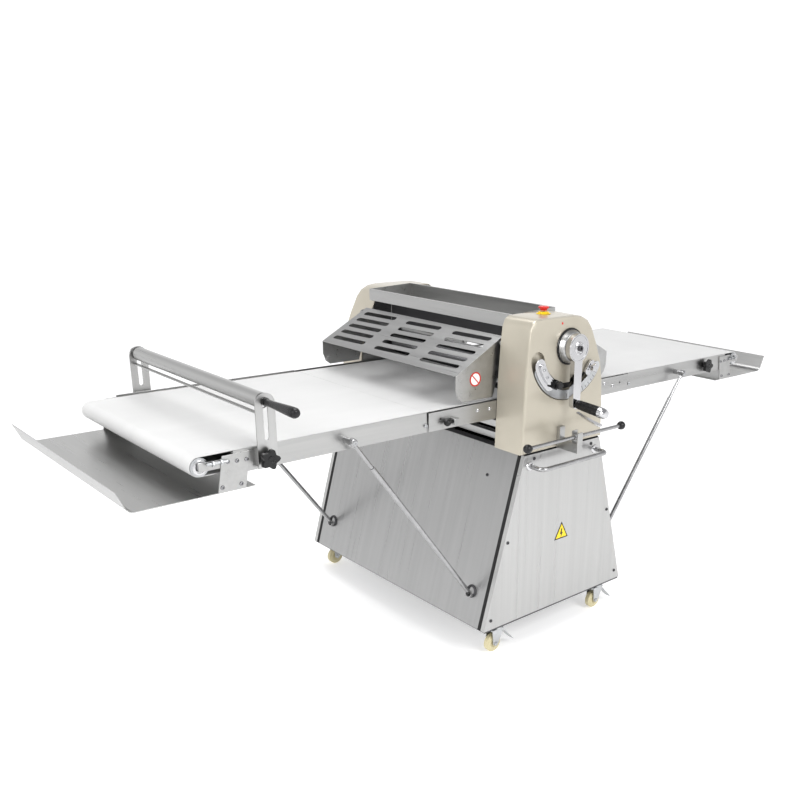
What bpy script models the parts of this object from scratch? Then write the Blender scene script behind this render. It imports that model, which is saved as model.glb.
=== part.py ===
"""Dough sheeter on castors: a cabinet and roller head with two folding belt tables. Metres, +Z up, X along the belts."""
import bmesh
import bpy
import math
from mathutils import Matrix, Vector

# ---- driving dimensions
BELT_W, BELT_T, BELT_TOP = 0.650, 0.0020, 0.7505
END_X, END_R = 1.0675, 0.0219          # end roller axis and radius
PIVOT_X, PIVOT_Z = 0.416, 0.7505       # table fold axis
RAIL_Y, RAIL_BOT, RAIL_TOP = 0.340, 0.698, 0.7535
BASE_X, BASE_Y, BASE_Z = 0.306, 0.457, 0.0935     # cabinet foot, half sizes and height
DECK_X, DECK_Z = 0.160, 0.6080         # cabinet shoulder
HEAD_IN, HEAD_OUT, HEAD_TOP = 0.3452, 0.460, 0.9920
ROLL_R, ROLL_GAP = 0.0420, 0.0130      # sheeting rollers
SHAFT = (0.0, 0.9060)                  # lever axis in x and z
TIP_X, FLOOR_Z = 1.2650, 0.6600        # catch tray lip and floor
STUD = (0.686, 0.725)
CUP = (0.2810, 0.1890)
STRUT_Y = 0.3700
TUBE = (-0.9105, 0.8600)
CASTOR = (0.2280, 0.4250)
WHEEL_R = 0.0280
GUARD_PIVOT = (0.1500, 0.9130)
GAP = 0.0003

bpy.context.preferences.edit.use_global_undo = False
for old in list(bpy.data.objects):
    bpy.data.objects.remove(old, do_unlink=True)
home = bpy.data.collections.new("dough_sheeter")
bpy.context.scene.collection.children.link(home)
MATS = {}


def material(name, colour, metal, rough):
    if name not in MATS:
        m = bpy.data.materials.new(name)
        m.use_nodes = True
        b = m.node_tree.nodes["Principled BSDF"]
        b.inputs["Base Color"].default_value = (*colour, 1.0)
        b.inputs["Metallic"].default_value = metal
        b.inputs["Roughness"].default_value = rough
        m.diffuse_color = (*colour, 1.0)
        MATS[name] = m
    return MATS[name]


STEEL = ("steel", (0.62, 0.62, 0.63), 1.0, 0.35)
CHROME = ("chrome", (0.80, 0.80, 0.82), 1.0, 0.12)
PAINT = ("champagne", (0.56, 0.52, 0.43), 0.0, 0.35)
BELT = ("belt", (0.86, 0.86, 0.84), 0.0, 0.55)
BLACK = ("black", (0.02, 0.02, 0.02), 0.0, 0.40)
ALU = ("aluminium", (0.60, 0.61, 0.62), 1.0, 0.40)
CREAM = ("cream", (0.72, 0.64, 0.36), 0.0, 0.45)
RED = ("red", (0.65, 0.02, 0.02), 0.0, 0.35)
YELLOW = ("yellow", (0.85, 0.55, 0.03), 0.0, 0.45)
DARK = ("dark_steel", (0.16, 0.16, 0.17), 1.0, 0.45)


class Part:
    """Collects closed solids in world metres and turns them into one named object."""

    def __init__(self):
        self.pieces = []

    def merge(self, mesh, matrix=None):
        if matrix is not None:
            mesh.transform(matrix)
        tmp = bmesh.new()
        tmp.from_mesh(mesh)
        bmesh.ops.recalc_face_normals(tmp, faces=tmp.faces[:])
        tmp.to_mesh(mesh)
        tmp.free()
        self.pieces.append(mesh)

    def union(self):
        """One mesh from all the pieces, joined where they overlap."""
        if len(self.pieces) == 1:
            return self.pieces[0]
        others = bpy.data.collections.new("joined")
        first = bpy.data.objects.new("first", self.pieces[0])
        home.objects.link(first)
        for mesh in self.pieces[1:]:
            others.objects.link(bpy.data.objects.new("other", mesh))
        mod = first.modifiers.new("join", "BOOLEAN")
        mod.operation, mod.solver, mod.operand_type, mod.collection = "UNION", "EXACT", "COLLECTION", others
        bpy.context.view_layer.update()
        mesh = bpy.data.meshes.new_from_object(first.evaluated_get(bpy.context.evaluated_depsgraph_get()))
        for ob in list(others.objects) + [first]:
            bpy.data.objects.remove(ob, do_unlink=True)
        bpy.data.collections.remove(others)
        return mesh

    def box(self, lo, hi, bevel=0.0, turn=None):
        tmp = bmesh.new()
        size = [b - a for a, b in zip(lo, hi)]
        mid = Vector([(a + b) / 2 for a, b in zip(lo, hi)])
        bmesh.ops.create_cube(tmp, size=1.0, matrix=Matrix.Diagonal((*size, 1.0)))
        if bevel:
            bmesh.ops.bevel(tmp, geom=tmp.edges[:], offset=bevel, segments=1, affect="EDGES")
        self.take(tmp, Matrix.Translation(mid) @ (turn or Matrix()))
        return self

    def take(self, tmp, matrix):
        mesh = bpy.data.meshes.new("piece")
        tmp.to_mesh(mesh)
        tmp.free()
        self.merge(mesh, matrix)

    def rod(self, a, b, r, seg=20, r2=None):
        a, b = Vector(a), Vector(b)
        tmp = bmesh.new()
        bmesh.ops.create_cone(tmp, cap_ends=True, segments=seg, radius1=r, radius2=r if r2 is None else r2,
                              depth=(b - a).length)
        turn = (b - a).to_track_quat("Z", "Y").to_matrix().to_4x4()
        self.take(tmp, Matrix.Translation((a + b) / 2) @ turn)
        return self

    def ball(self, p, r, seg=16):
        tmp = bmesh.new()
        bmesh.ops.create_uvsphere(tmp, u_segments=seg, v_segments=seg // 2, radius=r)
        self.take(tmp, Matrix.Translation(p))
        return self

    def turned(self, outline, p, axis, seg=24):
        """A profile of (radius, height) pairs, turned once about axis through p by a Screw modifier."""
        mesh = bpy.data.meshes.new("profile")
        mesh.from_pydata([(r, 0.0, h) for r, h in outline], [(i, i + 1) for i in range(len(outline) - 1)], [])
        ob = bpy.data.objects.new("profile", mesh)
        home.objects.link(ob)
        mod = ob.modifiers.new("turn", "SCREW")
        mod.angle, mod.steps, mod.render_steps = 2 * math.pi, seg, seg
        mod.use_merge_vertices, mod.merge_threshold = True, 0.00002
        turn = Vector(axis).to_track_quat("Z", "Y").to_matrix().to_4x4()
        self.evaluated(ob, Matrix.Translation(p) @ turn)
        return self

    def evaluated(self, ob, matrix):
        mesh = bpy.data.meshes.new_from_object(ob.evaluated_get(bpy.context.evaluated_depsgraph_get()))
        bpy.data.objects.remove(ob, do_unlink=True)
        tmp = bmesh.new()
        tmp.from_mesh(mesh)
        bpy.data.meshes.remove(mesh)
        bmesh.ops.remove_doubles(tmp, verts=tmp.verts[:], dist=0.00001)
        self.take(tmp, matrix)

    def sheet(self, outlines, plane, lo, hi):
        """A flat plate from outlines (the first is the edge, the rest are holes), from lo to hi across its plane."""
        data = bpy.data.curves.new("outline", "CURVE")
        data.dimensions, data.fill_mode, data.extrude = "2D", "BOTH", (hi - lo) / 2
        for loop in outlines:
            line = data.splines.new("POLY")
            line.points.add(len(loop) - 1)
            for point, (a, b) in zip(line.points, loop):
                point.co = (a, b, 0.0, 1.0)
            line.use_cyclic_u = True
        ob = bpy.data.objects.new("outline", data)
        home.objects.link(ob)
        bpy.context.view_layer.update()
        mid = (lo + hi) / 2
        frames = {"xz": Matrix(((1, 0, 0, 0), (0, 0, -1, mid), (0, 1, 0, 0), (0, 0, 0, 1))),
                  "yz": Matrix(((0, 0, 1, mid), (1, 0, 0, 0), (0, 1, 0, 0), (0, 0, 0, 1))),
                  "xy": Matrix.Translation((0, 0, mid))}
        self.evaluated(ob, frames[plane] if isinstance(plane, str) else plane)
        return self

    def wire(self, points, r, seg=2):
        data = bpy.data.curves.new("wire", "CURVE")
        data.dimensions, data.bevel_depth, data.bevel_resolution, data.use_fill_caps = "3D", r, seg, True
        line = data.splines.new("POLY")
        line.points.add(len(points) - 1)
        for point, co in zip(line.points, points):
            point.co = (*co, 1.0)
        ob = bpy.data.objects.new("wire", data)
        home.objects.link(ob)
        bpy.context.view_layer.update()
        self.evaluated(ob, Matrix())
        return self

    def done(self, name, mat, origin=(0, 0, 0), smooth=True):
        mesh = self.union()
        mesh.name = name
        mesh.materials.clear()
        mesh.transform(Matrix.Translation(-Vector(origin)))
        if smooth:
            mesh.shade_smooth()
            mesh.set_sharp_from_angle(angle=math.radians(35))
        mesh.materials.append(material(*mat))
        ob = bpy.data.objects.new(name, mesh)
        ob.location = origin
        home.objects.link(ob)
        return ob


def arc(cx, cy, r, a0, a1, n):
    return [(cx + r * math.cos(math.radians(a0 + (a1 - a0) * i / n)),
             cy + r * math.sin(math.radians(a0 + (a1 - a0) * i / n))) for i in range(n + 1)]


def slot(ax, ay, bx, by, r, n=6):
    """A stadium outline round the line from a to b."""
    t = math.degrees(math.atan2(by - ay, bx - ax))
    return arc(bx, by, r, t - 90, t + 90, n) + arc(ax, ay, r, t + 90, t + 270, n)


# ---- cabinet
def panel_x(z):
    """Half width of the tapered cabinet at height z."""
    return DECK_X + (BASE_X - DECK_X) * (DECK_Z - z) / (DECK_Z - BASE_Z)


def cabinet():
    low, top = BASE_Z, DECK_Z
    for side, name in ((-1, "cabinet_front_panel"), (1, "cabinet_rear_panel")):
        lo, hi = sorted((side * (BASE_Y - 0.002), side * BASE_Y))
        loop = [(-panel_x(low), low), (panel_x(low), low), (panel_x(top), top), (-panel_x(top), top)]
        panel = Part().sheet([loop], "xz", lo, hi)
        flo, fhi = sorted((side * (BASE_Y - 0.0160), side * (BASE_Y - 0.0005)))
        for s in (-1, 1):
            edge = [(s * panel_x(low), low), (s * panel_x(top), top), (s * (panel_x(top) - 0.0021), top),
                    (s * (panel_x(low) - 0.0021), low)]
            panel.sheet([edge], "xz", flo, fhi)
        panel.done(name, STEEL)
    for side, name in ((-1, "cabinet_left_panel"), (1, "cabinet_right_panel")):
        y = BASE_Y - 0.0205
        run = Vector((BASE_X - DECK_X, 0, low - top))
        length = run.length
        out = Vector((side * (top - low), 0, BASE_X - DECK_X)).normalized()
        down = Vector((side * run.x, 0, run.z)).normalized()
        across = out.cross(down)
        mid = Vector((side * DECK_X, 0, top)) + down * length / 2 - out * 0.0012
        frame = Matrix.Identity(4)
        for i, v in enumerate((across, down, out)):
            frame.col[i][:3] = v
        frame.col[3][:3] = mid
        loop = [(-y, -length / 2), (y, -length / 2), (y, length / 2), (-y, length / 2)]
        panel = Part().sheet([loop], frame, -0.001, 0.001)
        for sy in (-1, 1):
            socket(panel, side, sy)
        panel.done(name, STEEL)
    frame = Part()
    w, g = 0.022, 0.0030
    for sx in (-1, 1):
        for sy in (-1, 1):
            y0, y1 = sorted((sy * (BASE_Y - 0.0025), sy * (BASE_Y - 0.0025 - w)))
            a, b = low + 0.0200, top - 0.0120
            loop = [(sx * (panel_x(a) - g), a), (sx * (panel_x(a) - g - w), a),
                    (sx * (panel_x(b) - g - w), b), (sx * (panel_x(b) - g), b)]
            frame.sheet([loop], "xz", y0, y1)
    for z0, z1 in ((low - 0.0010, low + 0.0300), (top - 0.0240, top - 0.0003)):
        x, y = panel_x(z1) - g, BASE_Y - 0.0025
        outer = [(-x, -y), (x, -y), (x, y), (-x, y)]
        inner = [(-x + 0.030, -y + 0.030), (x - 0.030, -y + 0.030), (x - 0.030, y - 0.030), (-x + 0.030, y - 0.030)]
        frame.sheet([outer, inner], "xy", z0, z1)
    frame.box((-BASE_X + 0.004, -BASE_Y + 0.0005, low - 0.0045), (BASE_X - 0.004, BASE_Y - 0.0005, low - GAP))
    frame.done("cabinet_frame", DARK)
    motor = Part()
    motor.turned([(0, 0.26), (0.052, 0.26), (0.058, 0.25), (0.058, 0.035), (0.072, 0.030), (0.072, 0.0), (0, 0)],
                 (0.0, -0.10, 0.27), (0, 1, 0), 28)
    motor.box((-0.060, -0.1900, 0.200), (0.060, -0.0900, 0.345), 0.006)
    motor.rod((0.0, -0.1800, 0.27), (0.0, -0.230, 0.27), 0.014)
    motor.box((-0.075, -0.08, BASE_Z + 0.0002), (0.075, 0.13, 0.2160))
    motor.done("gear_motor", ALU)
    handle = Part()
    y, z, x0, x1 = -0.508, 0.574, -0.140, 0.140
    path = [(x0, -BASE_Y - 0.0003, z)]
    path += [(x0 + 0.018 + a, y + 0.018 + b, z) for a, b in arc(0, 0, 0.018, 180, 270, 5)]
    path += [(x1 - 0.018 + a, y + 0.018 + b, z) for a, b in arc(0, 0, 0.018, 270, 360, 5)]
    path += [(x1, -BASE_Y - 0.0003, z)]
    handle.wire(path, 0.0065, 3).done("push_handle", CHROME)


def socket(part, sx, sy):
    """Half a cup standing out of the sloped panel and open upwards, where a strut's foot rests."""
    x, z = CUP
    top, low = DECK_Z, BASE_Z
    out = Vector((sx * (top - low), 0, BASE_X - DECK_X)).normalized()
    down = Vector((sx * (BASE_X - DECK_X), 0, low - top)).normalized()
    base = Vector((sx * panel_x(z), sy * STRUT_Y, z))
    across = out.cross(down)
    frame = Matrix.Identity(4)
    for i, v in enumerate((across, down, out)):
        frame.col[i][:3] = v
    frame.col[3][:3] = base
    wall = arc(0, 0.004, 0.0150, 0, 180, 10) + arc(0, 0.004, 0.0120, 180, 0, 10)
    part.sheet([wall], frame, -0.0015, 0.0240)


# ---- castors
def castors():
    n = 0
    for sx in (-1, 1):
        for sy in (-1, 1):
            n += 1
            tag = ("front" if sy < 0 else "rear") + ("_left" if sx < 0 else "_right")
            x, y = sx * CASTOR[0], sy * CASTOR[1]
            trail = 0.014
            wx = x - trail
            fork = Part()
            top = BASE_Z - 0.0048
            fork.turned([(0, top), (0.024, top), (0.024, top - 0.004), (0.017, top - 0.010), (0.017, 0.0730), (0, 0.0730)],
                        (x, y, 0), (0, 0, 1), 20)
            fork.box((x - 0.026, y - 0.0165, 0.0700), (x + 0.018, y + 0.0165, 0.0742))
            for s in (-1, 1):
                a, b = sorted((y + s * 0.0164, y + s * 0.0140))
                loop = [(x + 0.018, 0.0720), (x - 0.026, 0.0720), (wx - 0.010, WHEEL_R), (wx + 0.001, WHEEL_R - 0.008),
                        (wx + 0.012, WHEEL_R)]
                fork.sheet([loop], "xz", a, b)
            if sy < 0:
                tilt = math.radians(46)
                half = 0.039
                cx, cz = x + 0.012 + half * math.cos(tilt), 0.0722 - half * math.sin(tilt)
                fork.box((cx - half, y - 0.011, cz - 0.0015), (cx + half, y + 0.011, cz + 0.0015), 0.0008,
                         Matrix.Rotation(tilt, 4, "Y"))
            fork.done("castor_fork_" + tag, ALU, (x, y, top))
            wheel = Part()
            w = 0.0115
            wheel.turned([(0, w), (0.009, w), (0.009, w - 0.002), (0.024, w - 0.002), (WHEEL_R, w - 0.005),
                          (WHEEL_R, 0.005 - w), (0.024, 0.002 - w), (0.009, 0.002 - w), (0.009, -w), (0, -w)],
                         (wx, y, WHEEL_R), (0, 1, 0), 28)
            wheel.done("castor_wheel_" + tag, CREAM, (wx, y, WHEEL_R))


# ---- head
def head_outline(inset, flip=1):
    """Side outline of the head cover in x and z: upright on one side, leaning in on the other."""
    pts = [(-0.176, DECK_Z + 0.0030), (-0.173, 0.700), (-0.169, 0.820), (-0.162, 0.920), (-0.157, 0.962),
           (-0.149, 0.981), (-0.134, 0.991), (-0.100, HEAD_TOP), (0.020, 0.9915), (0.052, 0.987), (0.077, 0.975),
           (0.096, 0.953), (0.124, 0.897), (0.143, 0.850), (0.156, 0.790), (0.163, 0.700), (0.166, DECK_Z + 0.0030)]
    if inset:
        out = []
        for i, p in enumerate(pts):
            a = Vector(pts[max(i - 1, 0)])
            b = Vector(pts[min(i + 1, len(pts) - 1)])
            t = (b - a).normalized()
            q = Vector(p) + Vector((t.y, -t.x)) * inset
            if i in (0, len(pts) - 1):
                q.y = p[1] + inset
            out.append((q.x, q.y))
        pts = out
    pts = [(flip * x, z) for x, z in pts]
    return pts


def housing(name, side):
    """A hollow cover: rim wall with a face plate, open towards the belts; the front one has the curved lever channel."""
    outer = head_outline(0.0, -side)
    part = Part()
    bm = bmesh.new()
    rings = [(HEAD_IN, 0.0), (HEAD_OUT - 0.010, 0.0), (HEAD_OUT - 0.003, 0.003), (HEAD_OUT, 0.010)]
    inner = [(HEAD_OUT - 0.004, 0.0105), (HEAD_OUT - 0.012, 0.0035), (HEAD_IN, 0.0035)]
    loops = []
    for y, inset in rings + inner:
        loops.append([bm.verts.new((x, side * y, z)) for x, z in head_outline(inset, -side)])
    n = len(outer)
    for a, b in zip(loops, loops[1:]):
        for i in range(n):
            bm.faces.new((a[i], a[(i + 1) % n], b[(i + 1) % n], b[i]))
    a, b = loops[-1], loops[0]
    for i in range(n):
        bm.faces.new((a[i], a[(i + 1) % n], b[(i + 1) % n], b[i]))
    front, back = len(rings) - 1, len(rings)
    for i in range(n):
        j = (i + 1) % n
        face = [f for f in loops[front][i].link_faces if loops[front][j] in f.verts
                and loops[back][i] in f.verts and loops[back][j] in f.verts]
        for f in face:
            bm.faces.remove(f)
    bm.faces.new(loops[front])
    bm.faces.new(loops[back])
    bmesh.ops.recalc_face_normals(bm, faces=bm.faces[:])
    bmesh.ops.triangulate(bm, faces=[f for f in bm.faces if len(f.verts) > 4])
    part.take(bm, Matrix())
    part.done(name, PAINT)


def head():
    housing("housing_front", -1)
    housing("housing_rear", 1)
    frame = Part()
    for side in (-1, 1):
        window = slot(0.0, 0.7900, 0.0, 0.8800, 0.0135, 5)
        lo, hi = sorted((side * (HEAD_IN + 0.0003), side * (HEAD_IN + 0.0063)))
        frame.sheet([head_outline(0.0050, -side), window], "xz", lo, hi)
    for sx in (-1, 1):
        frame.box((sx * 0.118 - 0.012, -HEAD_IN - 0.004, 0.6180), (sx * 0.118 + 0.012, HEAD_IN + 0.004, 0.6380))
        frame.box((sx * 0.118 - 0.010, -HEAD_IN - 0.004, 0.6540), (sx * 0.118 + 0.010, HEAD_IN + 0.004, 0.6740))
        for sy in (-1, 1):
            frame.box((sx * 0.118 - 0.011, sy * 0.315 - 0.015, DECK_Z + GAP), (sx * 0.118 + 0.011, sy * 0.315 + 0.015, 0.6200))
            px, pz = sx * GUARD_PIVOT[0], GUARD_PIVOT[1]
            lo, hi = sorted((sy * 0.3400, sy * 0.3448))
            frame.sheet([slot(sx * 0.085, pz, px, pz, 0.0110, 6)], "xz", lo, hi)
            frame.rod((sx * 0.085, sy * 0.3420, pz), (sx * 0.085, sy * 0.3480, pz), 0.0080, 16)
            frame.rod((px, sy * 0.3270, pz), (px, sy * 0.3430, pz), 0.0050, 16)
    frame.done("head_frame", DARK)
    tray = Part()
    t = 0.0015
    x0, x1, z0, zf, zb = -0.120, 0.056, 0.9530, 0.9900, 0.9990
    wall = [(x0, z0), (x1, z0), (x1, zb), (x1 - 0.008, zb), (x1 - 0.008, zb - t), (x1 - t, zb - t), (x1 - t, z0 + t),
            (x0 + t, z0 + t), (x0 + t, zf - t), (x0 + 0.008, zf - t), (x0 + 0.008, zf), (x0, zf)]
    y = HEAD_IN - 0.0006
    tray.sheet([wall], "xz", -y + t / 2, y - t / 2)
    for s in (-1, 1):
        lo, hi = sorted((s * y, s * (y - t)))
        tray.sheet([[(x0, z0), (x1, z0), (x1, zb), (x0, zf)]], "xz", lo, hi)
    tray.done("flour_tray", STEEL)
    z_low = BELT_TOP - ROLL_R - 0.0015
    roll = [(0, 0.3440), (0.0120, 0.3440), (0.0120, 0.3300), (ROLL_R, 0.3300), (ROLL_R, -0.3300), (0.0120, -0.3300),
            (0.0120, -0.3440), (0, -0.3440)]
    Part().turned(roll, (0, 0, z_low), (0, 1, 0), 32).done("lower_roller", CHROME, (0, 0, z_low))
    z_up = z_low + 2 * ROLL_R + ROLL_GAP
    roll = [(0, 0.3560), (0.0100, 0.3560), (0.0100, 0.3300), (ROLL_R, 0.3300), (ROLL_R, -0.3300), (0.0100, -0.3300),
            (0.0100, -0.3560), (0, -0.3560)]
    Part().turned(roll, (0, 0, z_up), (0, 1, 0), 32).done("upper_roller", CHROME, (0, 0, z_up))
    yoke = Part()
    for side in (-1, 1):
        lo, hi = sorted((side * 0.3522, side * 0.3680))
        yoke.sheet([slot(0, z_up, 0, z_up + 0.058, 0.0205, 8), slot(0, z_up, 0, z_up, 0.0103, 8)], "xz", lo, hi)
    yoke.rod((0, -0.3600, z_up + 0.058), (0, 0.3600, z_up + 0.058), 0.0075, 16)
    yoke.done("roller_yoke", ALU, (0, 0, z_up))
    zc = BELT_TOP - BELT_T - GAP - 0.0190
    for s, tag in ((-1, "left"), (1, "right")):
        roll = [(0, 0.3440), (0.0080, 0.3440), (0.0080, 0.3270), (0.0185, 0.3270), (0.0185, -0.3270),
                (0.0080, -0.3270), (0.0080, -0.3440), (0, -0.3440)]
        Part().turned(roll, (s * 0.0680, 0, zc), (0, 1, 0), 24).done("drive_roller_" + tag, DARK, (s * 0.0680, 0, zc))
    for sy, tag in ((-1, "front"), (1, "rear")):
        lo, hi = sorted((sy * (RAIL_Y + 0.0003), sy * (RAIL_Y + 0.0043)))
        z0, z1 = RAIL_BOT + 0.001, PIVOT_Z + 0.0010
        loops = [[(-0.4210, z0), (0.4210, z0), (0.4210, z1), (-0.4210, z1)], slot(0, z_low, 0, z_low, 0.0123, 8)]
        for s in (-1, 1):
            loops += [slot(s * 0.0680, zc, s * 0.0680, zc, 0.0083, 8), slot(s * 0.380, 0.729, s * 0.380, 0.729, 0.0032, 5)]
        rail = Part().sheet(loops, "xz", lo, hi)
        if sy < 0:
            y, z = -0.3580, 0.7200
            rail.box((-0.3480, y - 0.0085, z - 0.0090), (-0.3300, -RAIL_Y - 0.0035, z + 0.0090), 0.001)
        rail.done("hinge_rail_" + tag, STEEL)
    x0, x1 = 0.0680, PIVOT_X - 0.0004
    for s, tag in ((-1, "left"), (1, "right")):
        r1, r0 = 0.0190 + BELT_T + GAP, 0.0190 + GAP
        zb = zc - r1
        curve = [(s * (x0 - a), zc + b) for a, b in arc(0, 0, r1, 90, -90, 8)]
        back = [(s * (x0 - a), zc + b) for a, b in arc(0, 0, r0, -90, 90, 8)]
        loop = [(s * x1, zb)] + curve[::-1] + [(s * x1, zc + r1), (s * x1, zc + r0)]
        loop += back[::-1] + [(s * x1, zb + BELT_T)]
        Part().sheet([loop], "xz", -BELT_W / 2, BELT_W / 2).done("belt_inner_" + tag, BELT)


# ---- controls
def controls():
    x, z = SHAFT
    y0 = -HEAD_OUT - 0.0003
    Part().turned([(0, 0.0200), (0.041, 0.0200), (0.0435, 0.0180), (0.049, 0.0040), (0.049, 0.0), (0, 0)],
                  (x, y0, z), (0, -1, 0), 32).done("lever_boss", ALU)
    arm = Part()
    ya, yb = -0.4980, -0.4812
    neck = math.degrees(math.asin(0.0165 / 0.0405))
    loop = [(x + a, z + b) for a, b in arc(0, 0, 0.0405, -90 + neck, 270 - neck, 24)]
    loop += [(x - 0.0150, 0.745)] + [(x + a, 0.745 + b) for a, b in arc(0, 0, 0.0150, 180, 360, 8)]
    arm.sheet([loop], "xz", ya, yb)
    arm.turned([(0, 0.0030), (0.012, 0.0030), (0.014, 0.0), (0, 0)], (x, ya + 0.0010, z), (0, -1, 0), 20)
    arm.done("lever_arm", CHROME, (x, -0.49, z))
    tilt = Vector((0.06, -1.0, -0.10)).normalized()
    start = Vector((0.0, ya - 0.0018, 0.7450))
    grip = Part()
    grip.turned([(0, 0.108), (0.0100, 0.1065), (0.0140, 0.100), (0.0152, 0.088), (0.0142, 0.030), (0.0122, 0.003),
                 (0.0110, 0.0), (0, 0)], start - tilt * 0.0, tilt, 20)
    grip.done("lever_grip", BLACK, start)
    trigger = Part()
    p = Vector((0.0, ya - 0.0050, 0.7205))
    q = p + tilt * 0.088 + Vector((0, 0, -0.012))
    turn = (q - p).to_track_quat("Z", "X").to_matrix().to_4x4()
    tmp = bmesh.new()
    bmesh.ops.create_cube(tmp, size=1.0, matrix=Matrix.Diagonal((0.0040, 0.0130, (q - p).length, 1.0)))
    bmesh.ops.bevel(tmp, geom=tmp.edges[:], offset=0.0012, segments=1, affect="EDGES")
    trigger.take(tmp, Matrix.Translation((p + q) / 2) @ turn)
    trigger.done("lever_trigger", CHROME, p)
    band = Part()
    r0, r1 = 0.128, 0.160
    loop = [(x + a, z + b) for a, b in arc(0, 0, r1, 196, 344, 24)]
    loop += [(x + a, z + b) for a, b in arc(0, 0, r0, 344, 196, 24)]
    groove = [(x + a, z + b) for a, b in arc(0, 0, 0.138, 206, 334, 18)]
    groove += [(x + a, z + b) for a, b in arc(0, 0, 0.132, 334, 206, 18)]
    band.sheet([loop, groove], "xz", y0 - 0.0022, y0)
    band.done("gap_scale", ALU)
    for tag, a, reach in (("left", 240.0, 0.118), ("right", 321.0, 0.108)):
        part = Part()
        spin = Matrix.Translation((x, 0, z)) @ Matrix.Rotation(math.radians(270 - a), 4, "Y")
        block = bmesh.new()
        bmesh.ops.create_cube(block, size=1.0, matrix=Matrix.Translation((0, y0 - 0.0078, -reach))
                              @ Matrix.Diagonal((0.0170, 0.0105, 0.0260, 1.0)))
        bmesh.ops.bevel(block, geom=block.edges[:], offset=0.0010, segments=1, affect="EDGES")
        part.take(block, spin)
        c = spin @ Vector((0, y0 - 0.0134, -reach))
        part.rod(c + Vector((0, 0.0030, 0)), c + Vector((0, -0.0080, 0)), 0.0045, 12)
        star(part, c + Vector((0, -0.0063, 0)), (0, -1, 0), 0.0125, 0.0085)
        part.done("gap_stop_" + tag, BLACK, (x, y0, z))
    base = Part()
    ex, ey = -0.035, -0.385
    base.turned([(0, 0.0060), (0.0135, 0.0060), (0.0150, 0.0045), (0.0150, 0), (0, 0)],
                (ex, ey, HEAD_TOP + 0.0004), (0, 0, 1), 20).done("estop_collar", YELLOW)
    button = Part()
    zb = HEAD_TOP + 0.0094
    button.turned([(0, 0.0125), (0.0130, 0.0120), (0.0155, 0.0105), (0.0155, 0.0065), (0.0115, 0.0055), (0.0100, 0.0),
                   (0, 0)], (ex, ey, zb), (0, 0, 1), 20)
    button.done("estop_button", RED, (ex, ey, zb))
    bar = Part()
    yb, zb = -0.530, 0.6590
    bar.rod((-0.2160, yb, zb), (-0.0300, yb, zb), 0.0055, 16)
    bar.box((-0.0377, yb - 0.0080, zb - 0.0080), (-0.0123, yb + 0.0080, zb + 0.0080), 0.0010)
    bar.rod((-0.0200, yb, zb), (0.1620, yb, zb), 0.0055, 16)
    knobs = bar
    for s in (-1, 1):
        xk = -0.027 + s * 0.1963
        knobs.turned([(0, 0.0245), (0.0055, 0.0230), (0.0100, 0.0190), (0.0123, 0.0125), (0.0110, 0.0060),
                      (0.0075, 0.0010), (0.0060, 0.0), (0, 0)], (-0.027 + s * 0.1856, yb, zb), (s, 0, 0), 16)
    bar.done("control_bar", CHROME, (-0.025, yb, zb))
    bracket = Part()
    cheek = [(-0.5420, 0.6120), (-0.4606, 0.6120), (-0.4606, 0.6760), (-0.4720, 0.6760), (-0.4720, 0.6420),
             (-0.5180, 0.6420), (-0.5180, 0.6760), (-0.5210, 0.6760), (-0.5210, 0.6400), (-0.5390, 0.6400),
             (-0.5390, 0.6720), (-0.5420, 0.6720)]
    bracket.sheet([cheek], "yz", -0.0360, -0.0140)
    bracket.done("control_bracket", STEEL)


def star(part, p, axis, r, depth):
    """A five-lobed hand knob whose flat back is at p."""
    loop = []
    for i in range(30):
        a = 2 * math.pi * i / 30
        k = 0.84 + 0.16 * math.cos(5 * a)
        loop.append((r * k * math.cos(a), r * k * math.sin(a)))
    turn = Vector(axis).to_track_quat("Z", "Y").to_matrix().to_4x4()
    part.sheet([loop], Matrix.Translation(Vector(p) + Vector(axis) * depth / 2) @ turn, -depth / 2, depth / 2)


# ---- guards
def guards():
    for s, name in ((-1, "guard_left"), (1, "guard_right")):
        px, pz = s * GUARD_PIVOT[0], GUARD_PIVOT[1]
        slope = (0.924 - 0.837) / (0.318 - 0.155)
        a0, a1 = 0.1420, 0.3180
        t = 0.0015
        direction = Vector((s * (a1 - a0), 0, -(a1 - a0) * slope))
        length = direction.length
        down = direction.normalized()
        normal = Vector((s * slope, 0, 1)).normalized()
        across = normal.cross(down)
        frame = Matrix.Identity(4)
        for i, v in enumerate((across, down, normal)):
            frame.col[i][:3] = v
        top = Vector((s * a0, 0, 0.837 + (a1 - a0) * slope))
        frame.col[3][:3] = top + down * length / 2 - normal * t / 2
        y = 0.3330
        outlines = [[(-y, -length / 2), (y, -length / 2), (y, length / 2), (-y, length / 2)]]
        for row in range(5):
            v = -length / 2 + 0.026 + row * 0.0345
            for col in range(3):
                u = (col - 1) * 0.2240
                lean = 0.0070
                outlines.append(slot(u - 0.074, v + 0.002, u + 0.074, v - 0.002, 0.0085, 4))
        part = Part()
        part.sheet(outlines, frame, -t / 2, t / 2)
        for sy in (-1, 1):
            lo, hi = sorted((sy * y, sy * (y - t)))

            def under(x):
                return 0.837 + (a1 - x) * slope - 0.0009
            loop = [(s * (a1 - 0.0009), under(a1 - 0.0009)), (s * (a1 - 0.0009), 0.7960), (s * 0.3080, 0.7720),
                    (s * 0.2920, 0.7600), (s * 0.1780, 0.7600), (s * 0.1330, 0.9020), (s * a0, under(a0))]
            hole = slot(px, pz, px, pz, 0.0053, 6)
            part.sheet([loop, hole], "xz", lo, hi)
            lo, hi = sorted((sy * (y - t + 0.0005), sy * (y - t - 0.0058)))
            part.sheet([slot(s * 0.2950, 0.7760, s * 0.2950, 0.7760, 0.0095, 8)], "xz", lo, hi)
        part.done(name, STEEL, (px, 0, pz))


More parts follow.
